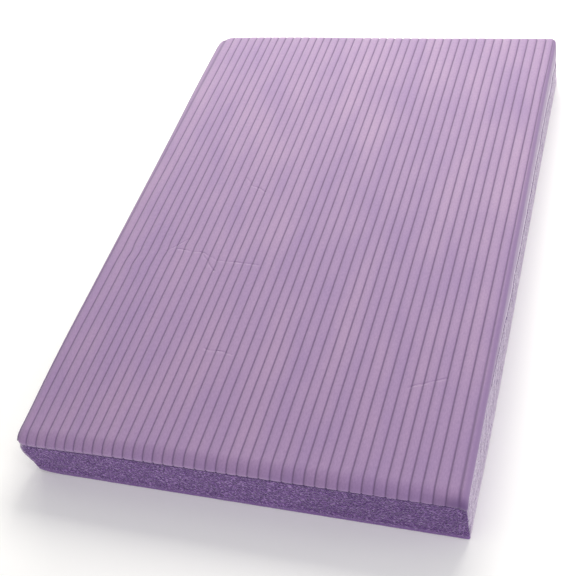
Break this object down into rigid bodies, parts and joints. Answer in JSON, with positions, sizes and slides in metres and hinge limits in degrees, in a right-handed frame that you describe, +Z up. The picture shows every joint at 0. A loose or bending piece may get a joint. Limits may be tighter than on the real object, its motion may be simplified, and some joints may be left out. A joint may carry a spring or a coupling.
{
  "type": "ribbed foam exercise pad",
  "caption": "Flat rectangular closed-cell foam exercise pad with a ribbed top skin, rolled edges, open cut sides and a smooth underside skin.",
  "frame": {"origin": "centre of the underside, on the plane that the pad lies on", "axes": "+X across the ribs, +Y along the ribs and the pad's length, +Z up through the thickness"},
  "size_m": [0.25, 0.37, 0.035],
  "materials": {
    "ribbed_skin": "matte lilac moulded foam skin with fine grain",
    "cut_foam": "matte violet cut closed-cell foam, open pores showing",
    "smooth_skin": "matte lilac smooth foam skin"
  },
  "bodies": {
    "root": {"ribbed_top_skin": "ribbed_skin", "foam_core": "cut_foam", "underside_skin": "smooth_skin"}
  },
  "joints": []
}
